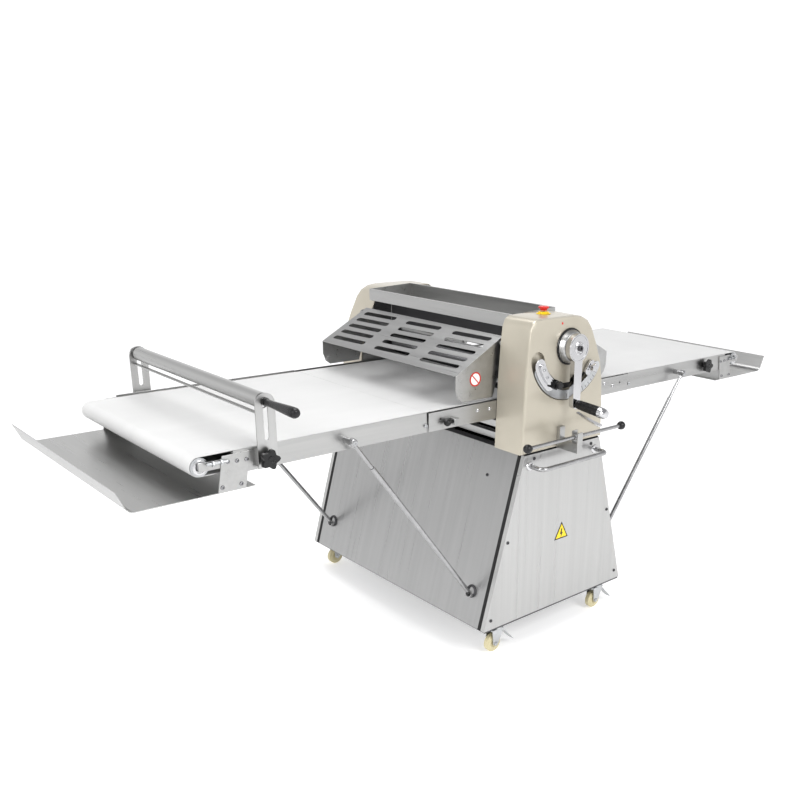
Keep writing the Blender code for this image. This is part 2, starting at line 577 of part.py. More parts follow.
# ---- tables
def tables():
    for s, tag in ((-1, "left"), (1, "right")):
        frame = Part()
        x0, x1 = 0.4240, 0.9900
        web0, web1 = BELT_TOP - BELT_T - 0.0045, BELT_TOP - BELT_T - 0.0010
        ry = RAIL_Y
        profile = [(-ry, RAIL_BOT), (-ry + 0.002, RAIL_BOT), (-ry + 0.002, web0), (ry - 0.002, web0), (ry - 0.002, RAIL_BOT),
                   (ry, RAIL_BOT), (ry, RAIL_TOP), (ry - 0.002, RAIL_TOP), (ry - 0.002, web1), (-ry + 0.002, web1),
                   (-ry + 0.002, RAIL_TOP), (-ry, RAIL_TOP)]
        lo, hi = sorted((s * x0, s * x1))
        frame.sheet([profile], "yz", lo, hi)
        frame.done("table_frame_" + tag, STEEL, (s * PIVOT_X, 0, PIVOT_Z))
        belt = Part()
        r0 = END_R + GAP
        r1 = r0 + BELT_T
        zc = BELT_TOP - r1
        bx = PIVOT_X + 0.0004
        outer = [(s * (END_X + a), zc + b) for a, b in arc(0, 0, r1, 90, -90, 12)]
        inner = [(s * (END_X + a), zc + b) for a, b in arc(0, 0, r0, 90, -90, 12)]
        loop = [(s * bx, BELT_TOP)] + outer + [(s * bx, zc - r1), (s * bx, zc - r0)] + inner[::-1] + [(s * bx, zc + r0)]
        belt.sheet([loop], "xz", -BELT_W / 2, BELT_W / 2)
        belt.done("belt_" + tag, BELT, (s * PIVOT_X, 0, PIVOT_Z))
        roll = Part()
        roll.turned([(0, 0.3355), (0.0060, 0.3355), (0.0060, 0.3310), (0.0190, 0.3310), (0.0190, 0.3290), (END_R, 0.3290),
                     (END_R, -0.3290), (0.0190, -0.3290), (0.0190, -0.3310), (0.0060, -0.3310), (0.0060, -0.3355),
                     (0, -0.3355)], (s * END_X, 0, zc), (0, 1, 0), 28)
        roll.done("end_roller_" + tag, ALU, (s * END_X, 0, zc))
        tray = Part()
        t = 0.0015
        f, x = FLOOR_Z, TIP_X
        loop = [(0.9400, f), (1.2280, f), (1.2380, f + 0.003), (1.2460, f + 0.011), (x, 0.7150), (x - t, 0.7155),
                (1.2445, f + 0.0125), (1.2370, f + 0.0047), (1.2275, f + t), (0.9400, f + t)]
        tray.sheet([[(s * a, b) for a, b in loop]], "xz", -0.3425, 0.3425)
        for sy in (-1, 1):
            lo, hi = sorted((sy * (RAIL_Y + 0.0003), sy * (RAIL_Y + 0.0038)))
            loop = [(s * 1.0200, 0.7470), (s * 0.9510, 0.7480), (s * 0.9650, f + 0.0005), (s * 1.0350, f + 0.0005)]
            tray.sheet([loop], "xz", lo, hi)
            lo, hi = sorted((sy * 0.3412, sy * 0.3360))
            tray.box((min(s * 0.9905, s * 1.0760), lo, 0.7190), (max(s * 0.9905, s * 1.0760), hi, 0.7390))
        tray.done("catch_tray_" + tag, STEEL, (s * PIVOT_X, 0, PIVOT_Z))
        for sy, end in ((-1, "front"), (1, "rear")):
            strut(s, sy, "strut_" + tag + "_" + end)
        kx, face = (0.9150, 0.3560) if s < 0 else (0.8620, RAIL_Y + 0.0003)
        for sy, end in ((-1, "front"), (1, "rear")):
            if s > 0 and sy > 0:
                continue
            knob = Part()
            knob.turned([(0, 0.0120), (0.0085, 0.0120), (0.0085, 0.0), (0, 0)], (s * kx, sy * face, 0.7260), (0, sy, 0), 14)
            star(knob, (s * kx, sy * (face + 0.0100), 0.7260), (0, sy, 0), 0.0250, 0.0120)
            knob.done("star_knob_" + tag + "_" + end, BLACK, (s * kx, sy * face, 0.7260))
    pull = Part()
    y, z = -0.3580, 0.7200
    pull.rod((-0.3484, y, z), (-0.3590, y, z), 0.0042, 12)
    pull.turned([(0, 0.0200), (0.0060, 0.0185), (0.0095, 0.0140), (0.0100, 0.0095), (0.0085, 0.0040), (0.0050, 0.0),
                 (0, 0)], (-0.3567, y, z), (-1, 0, 0), 16)
    pull.done("latch_knob", BLACK, (-0.3484, y, z))


def strut(s, sy, name):
    """A stepped stay: an eye on its shoulder bolt above, a thin rod, then a thicker foot tube."""
    part = Part()
    y = sy * STRUT_Y
    a = Vector((s * STUD[0], y, STUD[1]))
    b = Vector((s * CUP[0], y, CUP[1]))
    d = (b - a).normalized()
    out = Vector((s * (DECK_Z - BASE_Z), 0, BASE_X - DECK_X)).normalized()
    b = b + out * 0.0115
    d = (b - a).normalized()
    step = a + d * 0.100
    part.rod(a + d * 0.0090, step, 0.0052, 12)
    part.rod(step - d * 0.002, b - d * 0.004, 0.0068, 14)
    part.rod(a - Vector((0, 0.0060, 0)), a + Vector((0, 0.0060, 0)), 0.0110, 16)
    part.rod((a.x, sy * (RAIL_Y + 0.0004), a.z), (a.x, sy * (STRUT_Y - 0.0050), a.z), 0.0080, 14)
    part.turned([(0, 0.0090), (0.0090, 0.0075), (0.0105, 0.0045), (0.0105, 0), (0, 0)],
                (a.x, sy * (STRUT_Y + 0.0050), a.z), (0, sy, 0), 16)
    part.done(name, CHROME, a)


# ---- dough roll-up device on the left table
def roll_up():
    x, z = TUBE
    part = Part()
    for sy in (-1, 1):
        lo, hi = sorted((sy * 0.3520, sy * 0.3555))
        loop = arc(x, 0.8550, 0.0255, 0, 180, 10) + [(x - 0.0255, 0.7020), (x + 0.0255, 0.7020)]
        part.sheet([loop, slot(x, 0.7740, x, 0.8640, 0.0060, 5)], "xz", lo, hi)
        lo, hi = sorted((sy * (RAIL_Y + 0.0003), sy * 0.3530))
        part.box((-0.9330, lo, 0.7050), (-0.8880, hi, 0.7500))
    part.box((x - 0.0180, -0.3530, 0.8310), (x - 0.0080, 0.3530, 0.8340))
    part.done("roll_up_frame", STEEL, (-PIVOT_X, 0, PIVOT_Z))
    tube = Part()
    tube.turned([(0, 0.3480), (0.0150, 0.3480), (0.0155, 0.3475), (0.0155, -0.3475), (0.0150, -0.3480), (0, -0.3480)],
                (x, 0, z), (0, 1, 0), 24)
    tube.turned([(0, 0.0360), (0.0110, 0.0350), (0.0130, 0.0310), (0.0130, 0.0140), (0.0080, 0.0110), (0.0050, 0.0110),
                 (0.0050, 0.0), (0, 0.0)], (x, 0.3460, z), (0, 1, 0), 16)
    tube.done("roll_up_tube", STEEL, (x, 0, z))
    grip = Part()
    grip.turned([(0, 0.1460), (0.0095, 0.1445), (0.0125, 0.1380), (0.0125, 0.1200), (0.0085, 0.0420), (0.0080, 0.0080),
                 (0.0050, 0.0080), (0.0050, 0.0), (0, 0.0)], (x, -0.3483, z), (0, -1, 0), 16)
    grip.done("roll_up_grip", BLACK, (x, -0.3483, z))


cabinet()
castors()
head()
controls()
guards()
tables()
roll_up()

# The origin sits under the middle of the overall envelope, which the crank and the push bar stretch to the front.
for piece in bpy.data.objects:
    piece.location.y += 0.07355
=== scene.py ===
import bpy
import bmesh
import math
from mathutils import Matrix, Vector


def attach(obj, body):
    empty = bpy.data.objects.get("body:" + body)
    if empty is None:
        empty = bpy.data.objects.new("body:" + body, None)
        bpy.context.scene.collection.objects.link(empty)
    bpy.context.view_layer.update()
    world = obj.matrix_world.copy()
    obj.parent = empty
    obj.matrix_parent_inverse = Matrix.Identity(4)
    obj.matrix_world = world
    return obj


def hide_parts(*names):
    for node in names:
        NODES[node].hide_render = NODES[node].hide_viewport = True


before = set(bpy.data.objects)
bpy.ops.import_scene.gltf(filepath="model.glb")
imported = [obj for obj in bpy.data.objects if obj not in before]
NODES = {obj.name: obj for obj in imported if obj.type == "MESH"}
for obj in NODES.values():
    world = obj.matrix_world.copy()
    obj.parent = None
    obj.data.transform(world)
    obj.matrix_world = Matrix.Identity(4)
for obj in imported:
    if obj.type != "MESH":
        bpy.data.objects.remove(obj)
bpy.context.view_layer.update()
MID = 0.07355  # y of the belt's centre line


def W(x, y, z):
    """A point given from the belt's centre line, in the row frame."""
    return Vector((x, y + MID, z))


# ---- camera, at the photograph's angle
def make_camera():
    yaw, pitch, roll = math.radians(46.31), math.radians(-19.45), math.radians(1.57)
    fw = Vector((math.cos(pitch) * math.cos(yaw), math.cos(pitch) * math.sin(yaw), math.sin(pitch)))
    right = fw.cross(Vector((0, 0, 1))).normalized()
    up = right.cross(fw)
    r2 = right * math.cos(roll) + up * math.sin(roll)
    u2 = up * math.cos(roll) - right * math.sin(roll)
    data = bpy.data.cameras.new("camera")
    cam = bpy.data.objects.new("camera", data)
    bpy.context.scene.collection.objects.link(cam)
    m = Matrix.Identity(4)
    for i, v in enumerate((r2, u2, -fw)):
        m.col[i][:3] = v
    m.col[3][:3] = W(-1.9053, -2.1876, 1.3717)
    cam.matrix_world = m
    data.sensor_width, data.lens = 36.0, 40.62
    data.shift_x, data.shift_y = -0.12625, 0.1125
    data.clip_start, data.clip_end = 0.05, 120
    bpy.context.scene.camera = cam


make_camera()


# ---- materials
def link(nt, a, b):
    nt.links.new(a, b)


def noise(nt, scale, detail=4.0, stretch=(1, 1, 1), rough=0.55):
    where = nt.nodes.new("ShaderNodeTexCoord")
    mapping = nt.nodes.new("ShaderNodeMapping")
    mapping.inputs["Scale"].default_value = stretch
    tex = nt.nodes.new("ShaderNodeTexNoise")
    tex.inputs["Scale"].default_value = scale
    tex.inputs["Detail"].default_value = detail
    tex.inputs["Roughness"].default_value = rough
    link(nt, where.outputs["Object"], mapping.inputs["Vector"])
    link(nt, mapping.outputs["Vector"], tex.inputs["Vector"])
    return tex.outputs["Fac"]


def spread(nt, value, lo, hi, a=0.3, b=0.7):
    node = nt.nodes.new("ShaderNodeMapRange")
    node.inputs["From Min"].default_value, node.inputs["From Max"].default_value = a, b
    node.inputs["To Min"].default_value, node.inputs["To Max"].default_value = lo, hi
    link(nt, value, node.inputs["Value"])
    return node.outputs["Result"]


def blend_colour(nt, factor, a, b):
    node = nt.nodes.new("ShaderNodeMix")
    node.data_type = "RGBA"
    node.inputs[6].default_value = (*a, 1)
    node.inputs[7].default_value = (*b, 1)
    link(nt, factor, node.inputs[0])
    return node.outputs[2]


def surface(name, colour, metal, rough, grain=300.0, stretch=(1, 1, 1), bump=0.15, depth=0.0002, mottle=0.05,
            play=0.06, patch=5.0, drift=(1, 1, 1), coat=0.0, coat_rough=0.1):
    """A finish with a fine grain in its bump and roughness and slow drifts in its colour, like handled surfaces have."""
    mat = bpy.data.materials.new(name)
    mat.use_nodes = True
    nt = mat.node_tree
    bsdf = nt.nodes["Principled BSDF"]
    fine = noise(nt, grain, 3.0, stretch)
    slow = noise(nt, patch, 3.0, drift)
    deep = tuple(c * (1 - 2.2 * mottle) for c in colour)
    light = tuple(min(1.0, c * (1 + mottle)) for c in colour)
    base = blend_colour(nt, spread(nt, slow, 0, 1), deep, light)
    tone = nt.nodes.new("ShaderNodeMix")
    tone.data_type, tone.blend_type = "RGBA", "MULTIPLY"
    tone.inputs[0].default_value = 1.0
    link(nt, base, tone.inputs[6])
    link(nt, blend_colour(nt, spread(nt, fine, 0, 1), (1 - mottle,) * 3, (1, 1, 1)), tone.inputs[7])
    link(nt, tone.outputs[2], bsdf.inputs["Base Color"])
    bsdf.inputs["Metallic"].default_value = metal
    both = nt.nodes.new("ShaderNodeMath")
    both.operation = "ADD"
    link(nt, spread(nt, fine, rough - play / 2, rough + play / 2), both.inputs[0])
    link(nt, spread(nt, slow, -play / 2, play / 2), both.inputs[1])
    link(nt, both.outputs[0], bsdf.inputs["Roughness"])
    bsdf.inputs["Coat Weight"].default_value = coat
    bsdf.inputs["Coat Roughness"].default_value = coat_rough
    b = nt.nodes.new("ShaderNodeBump")
    b.inputs["Strength"].default_value = bump
    b.inputs["Distance"].default_value = depth
    link(nt, fine, b.inputs["Height"])
    link(nt, b.outputs["Normal"], bsdf.inputs["Normal"])
    return mat


def belt_cloth(name):
    """Coated belt: a tight woven face, faint flour and roller marks along the run."""
    mat = surface(name, (0.66, 0.66, 0.655), 0.0, 0.55, 35.0, (0.15, 1, 1), 0.0, 0.0002, 0.03, 0.08, 3.0)
    nt = mat.node_tree
    bsdf = nt.nodes["Principled BSDF"]
    where = nt.nodes.new("ShaderNodeTexCoord")
    threads = []
    for direction in ("X", "Y"):
        wave = nt.nodes.new("ShaderNodeTexWave")
        wave.bands_direction = direction
        wave.inputs["Scale"].default_value = 210.0
        wave.inputs["Distortion"].default_value = 0.4
        link(nt, where.outputs["Object"], wave.inputs["Vector"])
        threads.append(wave.outputs["Fac"])
    top = nt.nodes.new("ShaderNodeMath")
    top.operation = "MAXIMUM"
    link(nt, threads[0], top.inputs[0])
    link(nt, threads[1], top.inputs[1])
    b = nt.nodes.new("ShaderNodeBump")
    b.inputs["Strength"].default_value, b.inputs["Distance"].default_value = 0.12, 0.0003
    link(nt, top.outputs[0], b.inputs["Height"])
    link(nt, b.outputs["Normal"], bsdf.inputs["Normal"])
    bsdf.inputs["Sheen Weight"].default_value = 0.08
    return mat


STEEL = (0.47, 0.47, 0.465)
M = {
    "steel_x": surface("brushed_steel_along", STEEL, 1.0, 0.33, 260, (0.02, 1, 1), 0.20, 0.0003, 0.04, 0.09, 40.0,
            (0.04, 1, 1)),
    "steel_y": surface("brushed_steel_across", STEEL, 1.0, 0.33, 260, (1, 0.02, 1), 0.20, 0.0003, 0.04, 0.09, 40.0,
            (1, 0.04, 1)),
    "steel_z": surface("brushed_steel_upright", (0.50, 0.50, 0.495), 1.0, 0.32, 190, (1, 0.02, 0.012), 0.18, 0.0003,
            0.03, 0.08, 60.0, (1, 0.1, 0.02)),
    # the sloping panels: the same brushed steel as the upright panels, painted darker as shade
    "slope_steel_painted_shade": surface("brushed_slope_steel_painted_shade", (0.40, 0.40, 0.40), 1.0, 0.32, 190, (0.012, 1, 0.012), 0.18,
            0.0003, 0.03, 0.08, 60.0, (0.02, 1, 0.02)),
    "rod": surface("drawn_steel_rod", (0.42, 0.42, 0.425), 1.0, 0.24, 500, (1, 1, 0.2), 0.08, 0.0001, 0.05, 0.08, 30.0),
    # roller steel painted darker as shade, so the guard slots over the rollers read dark; the table end screws use it
    # too
    "roller": surface("roller_steel_painted_shade", (0.30, 0.30, 0.31), 1.0, 0.22, 260, (1, 0.02, 1), 0.1, 0.0002, 0.05, 0.08),
    "dark": surface("painted_dark_steel", (0.09, 0.09, 0.095), 0.4, 0.5, 400, (1, 1, 1), 0.2, 0.0002, 0.10, 0.1),
    "zinc": surface("zinc_plate", (0.55, 0.56, 0.57), 0.9, 0.36, 500, (1, 1, 1), 0.15, 0.0002, 0.08, 0.12, 22.0),
    "chrome": surface("polished_chrome", (0.60, 0.60, 0.61), 1.0, 0.10, 700, (1, 1, 1), 0.03, 0.0001, 0.02, 0.06, 9.0),
    "paint": surface("champagne_enamel", (0.50, 0.465, 0.39), 0.45, 0.34, 850, (1, 1, 1), 0.12, 0.0002, 0.03, 0.07, 6.0,
                     coat=0.35, coat_rough=0.18),
    "black": surface("black_moulded_plastic", (0.013, 0.013, 0.014), 0.0, 0.27, 900, (1, 1, 1), 0.12, 0.0002, 0.10,
            0.10, 20.0),
    # flat black that stands for painted shade in the cabinet's corner gaps, the head seam and the gap stop channel
    "painted_shade": surface("black_painted_shade", (0.02, 0.02, 0.02), 0.0, 0.7, 700, (1, 1, 1), 0.3, 0.0003, 0.15, 0.1, 15.0),
    "cream": surface("cream_nylon", (0.62, 0.56, 0.36), 0.0, 0.42, 600, (1, 1, 1), 0.15, 0.0002, 0.07, 0.1, 25.0),
    "red": surface("red_plastic", (0.62, 0.02, 0.015), 0.0, 0.30, 800, (1, 1, 1), 0.08, 0.0001, 0.05, 0.06, 30.0,
            coat=0.3),
    "yellow": surface("yellow_plastic", (0.85, 0.60, 0.02), 0.0, 0.38, 800, (1, 1, 1), 0.08, 0.0001, 0.05, 0.06, 30.0),
    "white": surface("white_film", (0.80, 0.80, 0.78), 0.0, 0.40, 700, (1, 1, 1), 0.05, 0.0001, 0.03, 0.05, 20.0),
    "sign_yellow": surface("yellow_film", (0.88, 0.66, 0.03), 0.0, 0.36, 700, (1, 1, 1), 0.05, 0.0001, 0.04, 0.05,
            20.0),
    "sign_red": surface("red_film", (0.55, 0.04, 0.03), 0.0, 0.36, 700, (1, 1, 1), 0.05, 0.0001, 0.04, 0.05, 20.0),
    "belt": belt_cloth("coated_belt_cloth"),
}


# ---- the CAD nodes: finish and softened edges
def dress(node, key, width=0.0005):
    ob = NODES[node]
    for s in ob.material_slots:
        s.link = "OBJECT"
        s.material = M[key]
    if not ob.material_slots:
        ob.data.materials.append(M[key])
    for p in ob.data.polygons:
        p.use_smooth = True
    weld = ob.modifiers.new("weld", "WELD")
    weld.merge_threshold = 0.00002
    soften(ob, width)


def soften(ob, width, angle=38, segments=2):
    bevel = ob.modifiers.new("edges", "BEVEL")
    bevel.width, bevel.segments, bevel.limit_method = width, segments, "ANGLE"
    bevel.angle_limit = math.radians(angle)
    bevel.use_clamp_overlap = True
    ob.modifiers.new("normals", "WEIGHTED_NORMAL").keep_sharp = True


FINISH = {
    "steel_x": "hinge_rail_front hinge_rail_rear table_frame_left table_frame_right head_frame control_bracket lever_boss",
    "steel_y": "flour_tray guard_left guard_right catch_tray_left catch_tray_right roll_up_tube",
    "steel_z": "cabinet_front_panel cabinet_rear_panel roll_up_frame",
    # the sloping panels take the steel painted darker as shade
    "slope_steel_painted_shade": "cabinet_left_panel cabinet_right_panel",
    "dark": "cabinet_frame gear_motor roller_yoke",
    # the rollers take the steel painted darker as shade
    "roller": "upper_roller lower_roller",
    "zinc": "gap_scale castor_fork_front_left castor_fork_front_right castor_fork_rear_left castor_fork_rear_right "
            "drive_roller_left drive_roller_right end_roller_left end_roller_right",
    "chrome": "lever_arm lever_trigger gap_stop_right",
    "rod": "push_handle control_bar strut_left_front strut_left_rear strut_right_front strut_right_rear",
    "paint": "housing_front housing_rear",
    "black": "lever_grip gap_stop_left roll_up_grip star_knob_left_front star_knob_left_rear "
             "star_knob_right_front latch_knob",
    "cream": "castor_wheel_front_left castor_wheel_front_right castor_wheel_rear_left castor_wheel_rear_right",
    "red": "estop_button", "yellow": "estop_collar",
    "belt": "belt_left belt_right belt_inner_left belt_inner_right",
}
for key, names in FINISH.items():
    for n in names.split():
        dress(n, key, 0.0012 if key == "paint" else 0.0005)


# ---- pieces
def new_object(name, mesh):
    ob = bpy.data.objects.new(name, mesh)
    bpy.context.scene.collection.objects.link(ob)
    return ob


def piece(name, bm, key, body, width=0.0, smooth=True):
    mesh = bpy.data.meshes.new(name)
    bmesh.ops.remove_doubles(bm, verts=bm.verts, dist=0.000002)
    bmesh.ops.recalc_face_normals(bm, faces=bm.faces[:])
    bm.to_mesh(mesh)
    bm.free()
    ob = new_object(name, mesh)
    mesh.materials.append(M[key])
    if smooth:
        for p in mesh.polygons:
            p.use_smooth = True
    if width:
        soften(ob, width)
    elif smooth:
        mesh.set_sharp_from_angle(angle=math.radians(38))
    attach(ob, body)
    return ob


def turned(bm, profile, at, axis, seg=24):
    """Sweeps (radius, height) points about axis from at; the ends close on the axis."""
    turn = Vector(axis).normalized().to_track_quat("Z", "Y").to_matrix().to_4x4()
    m = Matrix.Translation(at) @ turn
    rings = []
    for r, h in profile:
        if r < 1e-6:
            rings.append([bm.verts.new(m @ Vector((0, 0, h)))])
        else:
            rings.append([bm.verts.new(m @ Vector((r * math.cos(2 * math.pi * i / seg),
                    r * math.sin(2 * math.pi * i / seg), h)))
                          for i in range(seg)])
    for a, b in zip(rings, rings[1:]):
        for i in range(seg):
            j = (i + 1) % seg
            if len(a) == 1 and len(b) == 1:
                continue
            if len(a) == 1:
                bm.faces.new((a[0], b[i], b[j]))
            elif len(b) == 1:
                bm.faces.new((a[i], a[j], b[0]))
            else:
                bm.faces.new((a[i], a[j], b[j], b[i]))


def prism(bm, loop, plane, lo, hi):
    """Extrudes a closed outline of two coordinates along the axis that the plane leaves out."""
    def point(a, b, c):
        return {"xz": W(a, c, b), "xy": W(a, b, c), "yz": W(c, a, b)}[plane]
    rings = [[bm.verts.new(point(a, b, c)) for a, b in loop] for c in (lo, hi)]
    n = len(loop)
    for i in range(n):
        bm.faces.new((rings[0][i], rings[0][(i + 1) % n], rings[1][(i + 1) % n], rings[1][i]))
    bm.faces.new(rings[0])
    bm.faces.new(rings[1])


def arc(cx, cy, r, a0, a1, n):
    return [(cx + r * math.cos(math.radians(a0 + (a1 - a0) * i / n)),
            cy + r * math.sin(math.radians(a0 + (a1 - a0) * i / n)))
            for i in range(n + 1)]


def band(cx, cz, r0, r1, a0, a1, n=40, grow=0.0):
    """Outline of a curved slot with round ends, centred on (cx, cz)."""
    r0, r1 = r0 - grow, r1 + grow
    rm, rr = (r0 + r1) / 2, (r1 - r0) / 2
    out = arc(cx, cz, r1, a0, a1, n)
    e = math.radians(a1)
    out += arc(cx + rm * math.cos(e), cz + rm * math.sin(e), rr, a1, a1 + 180, 10)[1:-1]
    out += arc(cx, cz, r0, a1, a0, n)
    s = math.radians(a0)
    out += arc(cx + rm * math.cos(s), cz + rm * math.sin(s), rr, a0 + 180, a0 + 360, 10)[1:-1]
    return out


def cut(ob, loop, plane, lo, hi):
    bm = bmesh.new()
    prism(bm, loop, plane, lo, hi)
    bmesh.ops.recalc_face_normals(bm, faces=bm.faces[:])
    mesh = bpy.data.meshes.new("cutter")
    bm.to_mesh(mesh)
    bm.free()
    tool = new_object("cutter", mesh)
    mod = ob.modifiers.new("cut", "BOOLEAN")
    mod.operation, mod.solver, mod.object = "DIFFERENCE", "EXACT", tool
    bpy.context.view_layer.update()
    done = bpy.data.meshes.new_from_object(ob.evaluated_get(bpy.context.evaluated_depsgraph_get()))
    ob.modifiers.clear()
    ob.data = done
    bpy.data.objects.remove(tool, do_unlink=True)


# the front head cover, with the curved recess that the gap stops run in
AX, AZ = 0.0, 0.906  # the crank's axis
FACE = -0.460  # y of the cover's face
RECESS = (0.104, 0.156, 193, 322)  # inner and outer radius, first and last angle


def head_cover():
    bm = bmesh.new()
    bm.from_mesh(NODES["housing_front"].data)
    bmesh.ops.remove_doubles(bm, verts=bm.verts, dist=0.00002)
    mesh = bpy.data.meshes.new("head_cover_front")
    bm.to_mesh(mesh)
    bm.free()
    ob = new_object("head_cover_front", mesh)
    cut(ob, band(AX, AZ, *RECESS), "xz", FACE - 0.02, FACE + 0.015)
    ob.data.materials.clear()
    ob.data.materials.append(M["paint"])
    for p in ob.data.polygons:
        p.use_smooth = True
    soften(ob, 0.0022, 38, 3)
    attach(ob, "base")
    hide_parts("housing_front")
    pan = bmesh.new()
    prism(pan, band(AX, AZ, *RECESS, grow=0.0025), "xz", FACE + 0.0042, FACE + 0.0125)
    lid = piece("stop_channel_pan", pan, "paint", "base")
    cut(lid, band(AX, AZ, *RECESS), "xz", FACE - 0.02, FACE + 0.0105)
    lid.data.materials.clear()
    lid.data.materials.append(M["paint"])
    for p in lid.data.polygons:
        p.use_smooth = True
    soften(lid, 0.0006)
    rib = bmesh.new()
    prism(rib, band(AX, AZ, 0.126, 0.153, 206, 330), "xz", FACE - 0.0022, FACE + 0.0006)
    ring = piece("gap_scale_band", rib, "zinc", "base", 0.0008)
    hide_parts("gap_scale")
    # a black crescent on the recess floor: painted shade along the channel's inner edge
    channel_shade_strip = bmesh.new()
    prism(channel_shade_strip, band(AX, AZ, 0.1075, 0.1225, 205, 319), "xz", FACE + 0.0090, FACE + 0.0108)
    piece("stop_channel_painted_shade", channel_shade_strip, "painted_shade", "base")
    ticks = bmesh.new()
    for i in range(11):
        a = math.radians(268 + i * 5.5)
        r0, r1 = (0.136, 0.150) if i % 5 == 0 else (0.142, 0.150)
        w = 0.0005
        c, s = math.cos(a), math.sin(a)
        loop = [(AX + r0 * c - w * s, AZ + r0 * s + w * c), (AX + r1 * c - w * s, AZ + r1 * s + w * c),
                (AX + r1 * c + w * s, AZ + r1 * s - w * c), (AX + r0 * c + w * s, AZ + r0 * s - w * c)]
        prism(ticks, loop, "xz", FACE - 0.0026, FACE - 0.0020)
    piece("gap_scale_marks", ticks, "black", "base")


head_cover()


def screw(bm, p, axis, r=0.0045, h=0.0026):
    """A low domed head with a hexagon socket."""
    a = Vector(axis).normalized()
    turned(bm, [(0, h * 0.35), (r * 0.42, h * 0.35), (r * 0.46, h), (r * 0.72, h * 0.92), (r * 0.95, h * 0.55),
            (r, 0.0), (r, -0.0006),
                (0, -0.0006)], Vector(p), a, 18)


def screws(name, body, items, key="zinc"):
    bm = bmesh.new()
    for it in items:
        screw(bm, *it)
    piece(name, bm, key, body)


OUT = (0, -1, 0)
CABINET_SCREWS = ((-0.219, 0.356), (-0.279, 0.124), (0.279, 0.124), (0.219, 0.356), (-0.123, 0.594), (0.123, 0.594))
for end, sy in (("front", -1), ("rear", 1)):
    screws("cabinet_%s_screws" % end, "base",
           [(W(x, sy * 0.4570, z), (0, sy, 0), 0.0052, 0.0028) for x, z in CABINET_SCREWS], "dark")

# a sloping panel's half width and height at its head and its foot
TOP_X, TOP_Z = 0.160, 0.608
BASE_X, BASE_Z = 0.306, 0.0935
slope = Vector((TOP_Z - BASE_Z, 0, BASE_X - TOP_X)).normalized()


def on_slope(s, y, z):
    """A point on a sloping panel (s is -1 on the left, 1 on the right) and the panel's normal."""
    x = TOP_X + (BASE_X - TOP_X) * (TOP_Z - z) / (TOP_Z - BASE_Z)
    return W(s * x, y, z), Vector((s * slope.x, 0, slope.z))


screws("cabinet_side_screws", "base", [(*on_slope(s, sy * 0.325, 0.523), 0.0050, 0.0026)
                                       for s in (-1, 1) for sy in (-1, 1)], "dark")

# dark strips in the gaps at the cabinet's corners: painted shade standing in for the dark of the open gaps

strips = bmesh.new()
for s in (-1, 1):
    for sy in (-1, 1):
        y0, y1 = sorted((sy * 0.4285, sy * 0.4405))
        lo, hi = 0.0945, 0.6070
        a = on_slope(s, 0, lo)[0].x
        b = on_slope(s, 0, hi)[0].x
        prism(strips, [(a + s * 0.0005, lo), (b + s * 0.0005, hi), (b - s * 0.0004, hi), (a - s * 0.0004, lo)], "xz",
                y0, y1)
piece("cabinet_gap_painted_shade", strips, "painted_shade", "base")

# dark collars round the strut cups
bm = bmesh.new()
for s in (-1, 1):
    for sy in (-1, 1):
        p, n = on_slope(s, sy * 0.370, 0.189)
        turned(bm, [(0.0128, -0.0004), (0.0196, -0.0004), (0.0200, 0.0012), (0.0186, 0.0038), (0.0140, 0.0042),
                (0.0128, 0.0030)], p, n, 28)
piece("strut_cup_collars", bm, "dark", "base")

# dark sheet under the flour tray: painted shade standing in for the shadowed inside of the head behind the guard slots
bm = bmesh.new()
prism(bm, [(-0.0300, 0.8700), (-0.0285, 0.8700), (-0.0285, 0.9500), (0.0400, 0.9505), (0.0400, 0.9520),
        (-0.1120, 0.9520), (-0.1120, 0.9505),
           (-0.0300, 0.9500)], "xz", -0.3435, 0.3435)
piece("head_inner_painted_shade", bm, "dark", "base", 0.0004)

# flanges of the push handle
cups = bmesh.new()
for s in (-1, 1):
    turned(cups, [(0, 0.0045), (0.0085, 0.0045), (0.0125, 0.0028), (0.0138, 0.0), (0, 0.0)],
            W(s * 0.140, -0.4571, 0.574), OUT, 24)
piece("push_handle_flanges", cups, "chrome", "base")


# plain signs, with no lettering
def sign_triangle():
    def tri(k):
        cx, cz = 0.0085, 0.3293
        return [(cx + k * 0.0345 * math.cos(math.radians(a)), cz + k * 0.0345 * math.sin(math.radians(a)) * 1.06)
                for a in (90, 210, 330)]
    bm = bmesh.new()
    prism(bm, tri(1.0), "xz", -0.4574, -0.4570)
    piece("sign_border", bm, "black", "base", smooth=False)
    bm = bmesh.new()
    prism(bm, tri(0.80), "xz", -0.4577, -0.4573)
    piece("sign_field", bm, "sign_yellow", "base", smooth=False)
    bm = bmesh.new()
    x, z = 0.0085, 0.327
    prism(bm, [(x - 0.001, z + 0.017), (x - 0.006, z - 0.001), (x - 0.0005, z - 0.0005), (x - 0.003, z - 0.014),
               (x + 0.006, z + 0.004), (x + 0.0005, z + 0.0035), (x + 0.0035, z + 0.016)], "xz", -0.4580, -0.4576)
    piece("sign_mark", bm, "black", "base", smooth=False)


sign_triangle()


